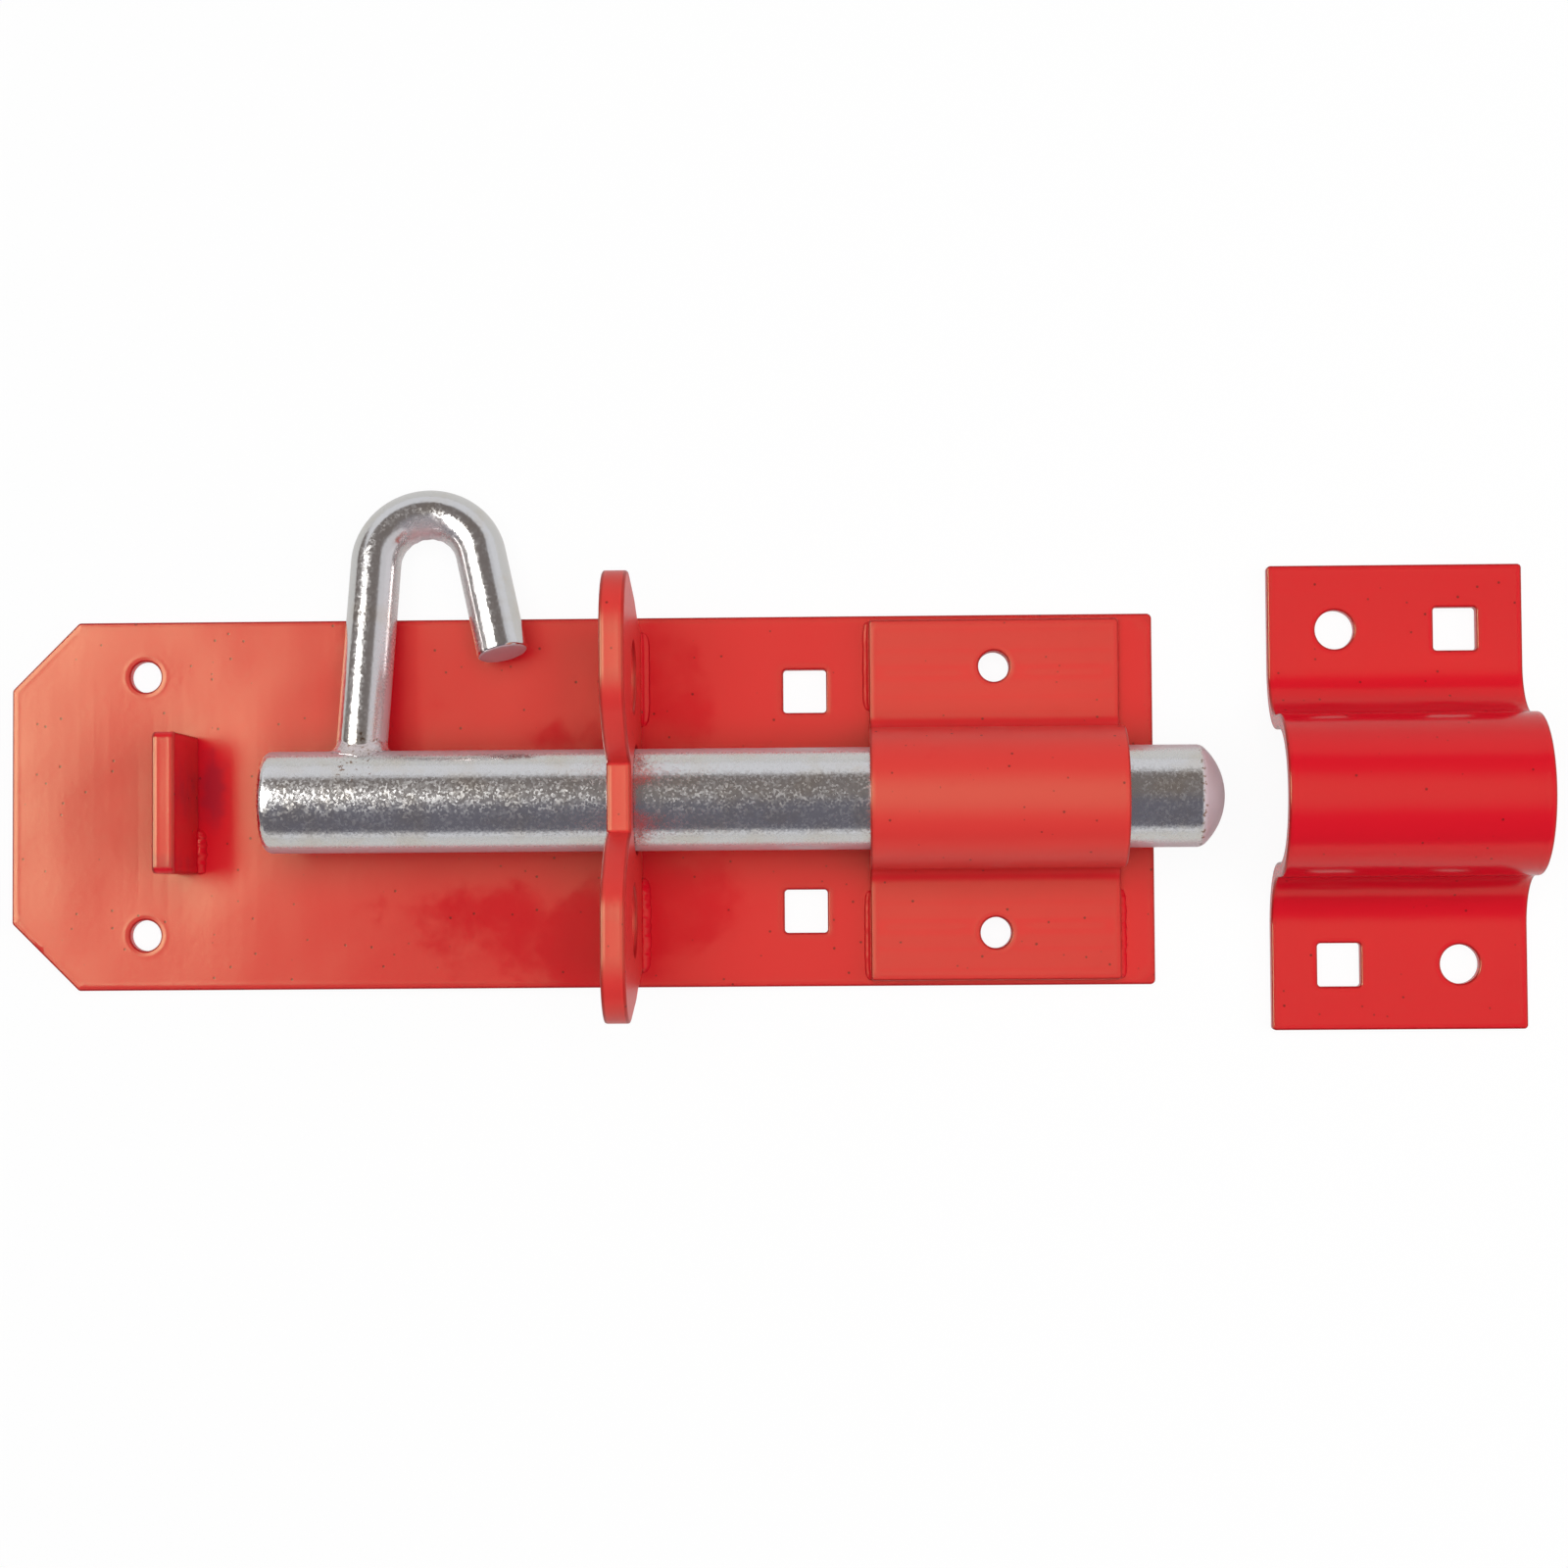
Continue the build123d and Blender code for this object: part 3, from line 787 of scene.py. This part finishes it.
class BOLT_OT_plate_welds(bpy.types.Operator):
    """Weld beads of the stop lug, the locking plate and the guide bridge"""
    bl_idname = "bolt.plate_welds"
    bl_label = "Welds of the plates"

    def execute(self, context):
        rng = np.random.default_rng(context.scene.bolt_finishes.seed)
        top = node_box("backplate")[1][2]
        lug, lock, bridge = map(node_box, ("stop_lug", "locking_plate", "guide_bridge"))
        # each bead: the wall's x, the middle's y, the way it faces, run, leg, ripple, hollow
        groups = {
            "stop_lug_weld": [
                (lug[1][0], lug[0][1] + 4.5 * MM, 1, 9.0 * MM, 1.6 * MM, 0.13, 0.1),
            ],
            "locking_plate_weld": [
                (lock[1][0], 24.6 * MM, 1, 19 * MM, 1.7 * MM, 0.03, 0.45),
                (lock[1][0], -24.6 * MM, 1, 19 * MM, 1.7 * MM, 0.07, 0.15),
            ],
            "guide_bridge_weld": [
                (bridge[0][0], 26.9 * MM, -1, 18 * MM, 1.3 * MM, 0.05, 0.45),
                (bridge[0][0], -26.9 * MM, -1, 18 * MM, 1.3 * MM, 0.05, 0.45),
                (bridge[1][0], -26.9 * MM, 1, 18 * MM, 1.2 * MM, 0.1, 0.1),
            ],
        }
        for node, beads in groups.items():
            points, faces, count = [], [], 0
            for x, y, way, run, leg, ripple, hollow in beads:
                grid = weld_bead(run, leg, ripple, hollow, rng)
                points.append(grid.reshape(-1, 3) * (way, way, 1) + (x, y, top))
                faces.append(grid_faces(*grid.shape[:2])[:, ::-1] + count)
                count += len(points[-1])
            add_piece(
                node + "_enamelled", np.concatenate(points), np.concatenate(faces),
                stoved_red_enamel, "enamel_weld", "mounting", node, close=True,
                polish=-1 if node == "guide_bridge_weld" else 0.6,
            )
        return {"FINISHED"}


class BOLT_OT_bar(bpy.types.Operator):
    """Round bar with a softened tail and a domed nose"""
    bl_idname = "bolt.bar"
    bl_label = "Bolt bar"

    def execute(self, context):
        sizes = context.scene.bolt_bar
        low, high = node_box("bolt_bar")
        radius, run = (high[2] - low[2]) / 2, high[0] - low[0]
        dome, tail, worn = sizes.nose_radius, sizes.end_round, sizes.nose_edge
        # the worn edge of the nose is an arc inside both the cylinder and the dome
        shoulder = run - dome + math.sqrt((dome - worn) ** 2 - (radius - worn) ** 2)
        slope = math.atan2(radius - worn, shoulder - run + dome)
        a = np.linspace(0, math.pi / 2, 10)
        b = np.linspace(math.pi / 2, slope, 10)
        c = np.linspace(slope, 0, 28)[1:]
        side_rings = 68
        x = np.concatenate([
            [0, 0], tail * (1 - np.cos(a)), np.linspace(tail, shoulder, side_rings + 2)[1:-1],
            shoulder + worn * np.cos(b), run - dome + dome * np.cos(c),
        ])
        r = np.concatenate([
            [0, (radius - tail) * 0.6], radius - tail + tail * np.sin(a),
            np.full(side_rings, radius), radius - worn + worn * np.sin(b), dome * np.sin(c),
        ])
        t = round_angles(128)
        points = np.stack([
            np.repeat(x[:, None], len(t), axis=1),
            r[:, None] * np.cos(t), r[:, None] * np.sin(t),
        ], axis=-1)
        # brown specks along the worn edge of the nose and round the handle's root
        edge = shoulder + 0.7 * MM
        heat = 1.1 * np.exp(-((x - edge) / (0.8 * MM)) ** 2)[:, None]
        root = np.hypot(points[..., 0] - sizes.handle_inset, points[..., 1] - radius)
        heat = np.maximum(heat, np.clip(1 - (root - 5 * MM) / (3 * MM), 0, 0.75))
        # dull on the dome, and on the flanks that face down to the plate, where its pinkish colour
        # paints the plate's reflection
        from_top = np.abs(math.pi - (t + math.pi / 2) % math.tau)
        flank = np.clip((from_top - 1.0) / 0.3, 0, 0.7)
        dull = np.maximum(0.8 * np.clip((x - edge) / (0.5 * MM) + 0.5, 0, 1)[:, None], flank)
        flat = points.reshape(-1, 3) + (low[0], 0, low[2] + radius)
        add_piece(
            "bolt_bar_plated", flat, grid_faces(len(x), len(t))[:, ::-1], bright_zinc_plate,
            "zinc_plated_steel", "bolt", "bolt_bar", close=True,
            rim=heat.ravel(), dull=dull.ravel(),
        )
        return {"FINISHED"}


def from_hook_plane(points):
    """Hook plane (along the bar, out from it, square to both) to the frame: turned about
    the bar by the droop that lays the hook's crown on the surface below."""
    sizes = bpy.context.scene.bolt_bar
    bar = node_box("bolt_bar")
    axis = (bar[0][2] + bar[1][2]) / 2
    crown = sizes.hook_reach + sizes.hook_bend
    droop = math.asin((axis - sizes.rod / 2 - sizes.floor_gap) / crown)
    c, s = math.cos(droop), math.sin(droop)
    return np.stack([
        points[..., 0] + bar[0][0] + sizes.handle_inset,
        points[..., 1] * c + points[..., 2] * s,
        points[..., 2] * c - points[..., 1] * s + axis,
    ], axis=-1)


def rod_rings(middle, inner, radius, t):
    """Rings in the hook plane: the middle plus r cos t towards the inner side, and r sin t
    square to the plane."""
    plane = middle + inner * (radius * np.cos(t))[..., None]
    height = np.broadcast_to(radius * np.sin(t), plane.shape[:-1])
    return np.concatenate([plane, height[..., None]], axis=-1)


class BOLT_OT_handle(bpy.types.Operator):
    """Rod that leaves the bar and turns back on itself as a hook, and its weld"""
    bl_idname = "bolt.handle"
    bl_label = "Hooked handle"

    def execute(self, context):
        sizes = context.scene.bolt_bar
        bar = node_box("bolt_bar")
        cope = (bar[1][2] - bar[0][2]) / 2 + sizes.cope_gap
        r, lean, splay = sizes.rod / 2, sizes.lean, sizes.splay
        along = np.array([math.sin(lean), math.cos(lean)])
        stem = (sizes.hook_reach + sizes.hook_bend * along[0]) / along[1]
        turn = math.pi - lean - splay
        square = np.array([along[1], -along[0]])
        a = np.linspace(0, turn, 64)
        c, s = np.cos(a)[:, None], np.sin(a)[:, None]
        bend = stem * along + sizes.hook_bend * ((1 - c) * square + s * along)
        down = np.array([math.sin(splay), -math.cos(splay)])
        leg = bend[-1] + down * np.linspace(0, sizes.leg, 26)[1:, None]
        path = np.concatenate([bend, leg])
        heading = np.concatenate([c * along + s * square, np.repeat(down[None], len(leg), axis=0)])
        t = round_angles(72)
        inner = np.stack([heading[:, 1], -heading[:, 0]], axis=1)
        # the bend is squeezed a little flat and creased on its inner side
        squeeze = np.concatenate([np.sin(a / turn * math.pi) ** 2, np.zeros(len(leg))])
        lumps = 0.07 * MM * squeeze[:, None] * np.clip(np.cos(t), 0, 1) ** 2 * (
            np.cos(7 * t)[None] * 0.3 + np.cos(np.arange(len(path)) * 0.8)[:, None]
        )
        radius = r + lumps - 0.12 * MM * squeeze[:, None] * (1 - np.abs(np.sin(t)))
        rings = rod_rings(path[:, None], inner[:, None], radius, t)
        # the cut tip: a rounded edge, then two smaller rings that close it
        tip = np.linspace(0, math.pi / 2, 7)
        edge = 0.7 * MM
        tip_radius = np.concatenate([r - edge * (1 - np.cos(tip)), [r * 0.5, 0]])
        tip_drop = np.concatenate([edge * np.sin(tip), [edge * 1.12, edge * 1.16]]) - edge
        tip_middle = path[-1] + down * tip_drop[:, None, None]
        tip_rings = rod_rings(tip_middle, inner[-1], tip_radius[:, None], t)
        # the shank starts where its lines meet the cope's cylinder round the bar
        start = (np.sqrt(cope ** 2 - (r * np.sin(t)) ** 2) - r * np.cos(t) * square[1]) / along[1]
        shank_rings = 39
        reach = start + (stem - start) * np.linspace(0, 1, shank_rings + 1)[:-1, None]
        shank = rod_rings(reach[..., None] * along, square, r, t)
        root = np.zeros((1, len(t), 3)) + (*(along * cope * 0.98), 0)
        grid = np.concatenate([root, shank, rings[:-1], tip_rings])
        heat = np.clip(1 - (np.linalg.norm(grid[..., :2], axis=-1) - 12 * MM) / (2 * MM), 0, 1)
        # dull bloom on the cut tip, inside the bend and low on the side that faces the nose; its
        # pinkish colour paints the red plate's reflection
        inward = np.clip(np.cos(t) * 1.4 - 0.3, 0, 1)
        bloom = np.concatenate([
            [0], np.linspace(1, 0.3, shank_rings), np.maximum(squeeze[:-1], 0.3),
            np.zeros(len(tip_rings)),
        ])
        dull = 0.7 * bloom[:, None] * inward
        dull[-6:] = 0.8
        add_piece(
            "bolt_handle_plated", from_hook_plane(grid.reshape(-1, 3)),
            grid_faces(*grid.shape[:2]), bright_zinc_plate, "zinc_plated_steel", "handle",
            "bolt_handle", close=True, rim=heat.ravel(), polish=0.5, dull=dull.ravel(),
        )

        rng = np.random.default_rng(context.scene.bolt_finishes.seed + 1)
        # the collar: a hollow flare from its wavy toe up to its wavy top on the rod
        t = round_angles(96)
        k = np.array([3, 5, 8, 13, 21])[:, None]
        wave = (np.cos(k * t + rng.uniform(0, math.tau, (5, 1))) / k ** 0.5).sum(axis=0)
        toe = r + 1.5 * MM * (1 + 0.22 * wave)
        rise = 1.9 * MM * (1 + 0.18 * np.roll(wave, 17))
        q = np.linspace(0, math.pi / 2, 8)
        out = toe + (r - toe) * np.sin(q)[:, None]
        up = rise * (1 - np.cos(q))[:, None]
        out = np.concatenate([out, np.full((2, len(t)), r * 0.97)])
        up = np.concatenate([up, [rise, 0 * rise]])
        seat = np.sqrt(cope ** 2 - np.clip(out * np.sin(t), -cope, cope) ** 2)
        level = (seat + up - out * np.cos(t) * square[1]) / along[1]
        collar = rod_rings(level[..., None] * along, square, out, t)
        collar = np.concatenate([collar, collar[:1]])
        # the collar's dull share brings the pinkish painted reflection too
        add_piece(
            "handle_weld_plated", from_hook_plane(collar.reshape(-1, 3)),
            grid_faces(*collar.shape[:2]), bright_zinc_plate, "zinc_plated_weld", "handle",
            "handle_weld", close=True, rim=0.7, polish=0.6, dull=0.35,
        )
        return {"FINISHED"}


class BOLT_OT_stage(bpy.types.Operator):
    """White table, soft studio light from the left and the camera above"""
    bl_idname = "bolt.stage"
    bl_label = "Table, lights and camera"

    def execute(self, context):
        self.table()
        self.surroundings(context)
        self.lamps()
        self.camera(context)
        return {"FINISHED"}

    def table(self):
        """White laminate table: seen by the camera and in gloss it is the background's
        white, and the rest of it is lit and takes the shadows."""
        material, tree = new_material("white_table")
        viewed = add(tree, "LightPath", "Is Camera Ray", {})
        gloss = add(tree, "LightPath", "Is Glossy Ray", {})
        through = add(tree, "LightPath", "Is Transmission Ray", {})
        seen = add(tree, "Math", 0, {0: gloss, 1: through}, operation="MAXIMUM")
        share = add(tree, "Math", 0, {0: seen, 1: 0.70}, operation="MULTIPLY")
        share = add(tree, "Math", 0, {0: viewed, 1: 0.93, 2: share}, **MULTIPLY_ADD)
        paint = add(tree, "BsdfDiffuse", 0, {"Color": linear("#F4F4F4")})
        bright = add(tree, "Math", 0, {0: viewed, 1: 0.35, 2: 0.65}, **MULTIPLY_ADD)
        glow = add(tree, "Emission", 0, {"Color": (1, 1, 1), "Strength": bright})
        paint = add(tree, "MixShader", 0, {0: share, 1: paint, 2: glow})
        add(tree, "OutputMaterial", slice(0), {"Surface": paint})
        half, level = 6.0, -0.12 * MM
        corners = [(-half, -half), (half, -half), (half, half), (-half, half)]
        mesh = bpy.data.meshes.new("table")
        mesh.from_pydata([(x, y, level) for x, y in corners], [], [(0, 1, 2, 3)])
        mesh.materials.append(material)
        table = bpy.data.objects.new("table", mesh)
        bpy.context.scene.collection.objects.link(table)

    def surroundings(self, context):
        """A studio seen in the gloss: dim ceiling, pale walls low down to the north and
        south, a pale wall that comes up higher at the nose end, and a dark one behind the
        softbox. The direction's height and side choose between them."""
        world = bpy.data.worlds.new("studio")
        context.scene.world = world
        world.use_nodes = True
        tree = world.node_tree
        tree.nodes.clear()
        way = add(tree, "TexCoord", "Generated", {})
        x, y, z = [add(tree, "SeparateXYZ", i, {"Vector": way}) for i in range(3)]
        tilt = add(tree, "Math", 0, {0: y, 1: -0.18, 2: z}, **MULTIPLY_ADD)
        low, west, east, side = [
            add(tree, "MapRange", "Result", {
                "Value": value, "From Min": start, "From Max": end, "To Max": most,
            }, **SMOOTH)
            for value, start, end, most in (
                (tilt, 0.46, 0.34, 1.0), (x, -0.80, -0.68, 1.0),
                (x, 0.40, 0.54, 0.85), (y, -0.35, 0.25, 1.0),
            )
        ]
        wall = add(tree, "Math", 0, {0: low, 1: west}, operation="MULTIPLY")
        wall = add(tree, "Math", 0, {0: wall, 1: east}, operation="MAXIMUM")
        ceiling = add(tree, "Mix", 2, {
            0: side, 6: (0.16, 0.155, 0.19), 7: (0.21, 0.185, 0.18),
        }, **COLOURS)
        wall = add(tree, "Mix", 2, {0: wall, 6: ceiling, 7: (0.80, 0.81, 0.86)}, **COLOURS)
        viewed = add(tree, "LightPath", "Is Camera Ray", {})
        gloss = add(tree, "LightPath", "Is Glossy Ray", {})
        room = add(tree, "Mix", 2, {0: viewed, 6: (0.12, 0.12, 0.12), 7: (1, 1, 1)}, **COLOURS)
        room = add(tree, "Mix", 2, {0: gloss, 6: room, 7: wall}, **COLOURS)
        light = add(tree, "Background", 0, {"Color": room, "Strength": 1.0})
        add(tree, "OutputWorld", slice(0), {"Surface": light})

    def lamps(self):
        """A round softbox high on the left, which gloss shows, and its spill. A round
        sheet overhead and one at the nose end open the shadows."""
        west = (-0.69, 0.16, 0.83)
        self.lamp("softbox", west, 0.8, 18.0, True)
        self.lamp("softbox_spill", west, 0.8, 2.0, False)
        self.lamp("sheet_overhead", (0.02, 0.05, 1.25), 1.3, 13.8, False)
        self.lamp("sheet_nose", (1.15, 0.0, 0.75), 1.2, 6.5, False)

    def lamp(self, name, place, width, power, in_gloss):
        """A round lamp that faces the middle of the part, seen in gloss or in the paint."""
        data = bpy.data.lights.new(name, "AREA")
        data.shape, data.size, data.energy = "DISK", width, power
        lamp = bpy.data.objects.new(name, data)
        back = np.array(place) / np.linalg.norm(place)
        across = np.cross((0, 1, 0), back)
        across /= np.linalg.norm(across)
        turn = Matrix(np.column_stack([across, np.cross(back, across), back]).tolist()).to_4x4()
        lamp.matrix_world = Matrix.Translation(place) @ turn
        lamp.visible_glossy = in_gloss
        lamp.visible_diffuse = not in_gloss
        lamp.visible_camera = False
        bpy.context.scene.collection.objects.link(lamp)

    def camera(self, context):
        """The photograph's view: almost straight down from 0.62 m, a little right of the
        middle, found by fitting the solids' outlines to it."""
        data = bpy.data.cameras.new("camera")
        data.sensor_width = SENSOR_WIDTH
        data.lens = FOCAL_PIXELS / IMAGE_SIZE * SENSOR_WIDTH
        data.clip_start, data.clip_end = 0.05, 30
        camera = bpy.data.objects.new("camera", data)
        turn = Matrix.Rotation(-0.00704, 4, "Z") @ Matrix.Rotation(0.02421, 4, "Y")
        turn = turn @ Matrix.Rotation(0.03804, 4, "X")
        camera.matrix_world = Matrix.Translation((0.0556062, -0.0201277, 0.619587)) @ turn
        context.scene.collection.objects.link(camera)
        context.scene.camera = camera
        context.scene.view_settings.view_transform = "Standard"


STEPS = (
    BOLT_OT_backplate, BOLT_OT_stop_lug, BOLT_OT_locking_plate, BOLT_OT_straps,
    BOLT_OT_plate_welds, BOLT_OT_bar, BOLT_OT_handle, BOLT_OT_stage,
)


class BOLT_PT_panel(bpy.types.Panel):
    """Sizes, finishes and making of the sliding bolt"""
    bl_idname = "BOLT_PT_panel"
    bl_label = "Sliding Bolt"
    bl_space_type = "VIEW_3D"
    bl_region_type = "UI"
    bl_category = "Sliding Bolt"

    def draw(self, context):
        for name in GROUPS:
            box = self.layout.box()
            group = getattr(context.scene, name)
            for key in group.bl_rna.properties.keys():
                if key not in ("rna_type", "name"):
                    box.prop(group, key)
        for step in STEPS:
            self.layout.operator(step.bl_idname)


GROUPS = {
    "bolt_plates": BoltPlateSizes, "bolt_straps": BoltStrapSizes,
    "bolt_bar": BoltBarSizes, "bolt_finishes": BoltFinishes,
}
CLASSES = (*GROUPS.values(), *STEPS, BOLT_PT_panel)


def register():
    for cls in CLASSES:
        bpy.utils.register_class(cls)
    for name, group in GROUPS.items():
        setattr(bpy.types.Scene, name, PointerProperty(type=group))


def unregister():
    for name in GROUPS:
        delattr(bpy.types.Scene, name)
    for cls in reversed(CLASSES):
        bpy.utils.unregister_class(cls)


def main():
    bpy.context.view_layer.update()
    register()
    for step in STEPS:
        area, name = step.bl_idname.split(".")
        if getattr(getattr(bpy.ops, area), name)() != {"FINISHED"}:
            raise RuntimeError(f"{step.bl_idname} did not finish")


if __name__ == "__main__":
    main()
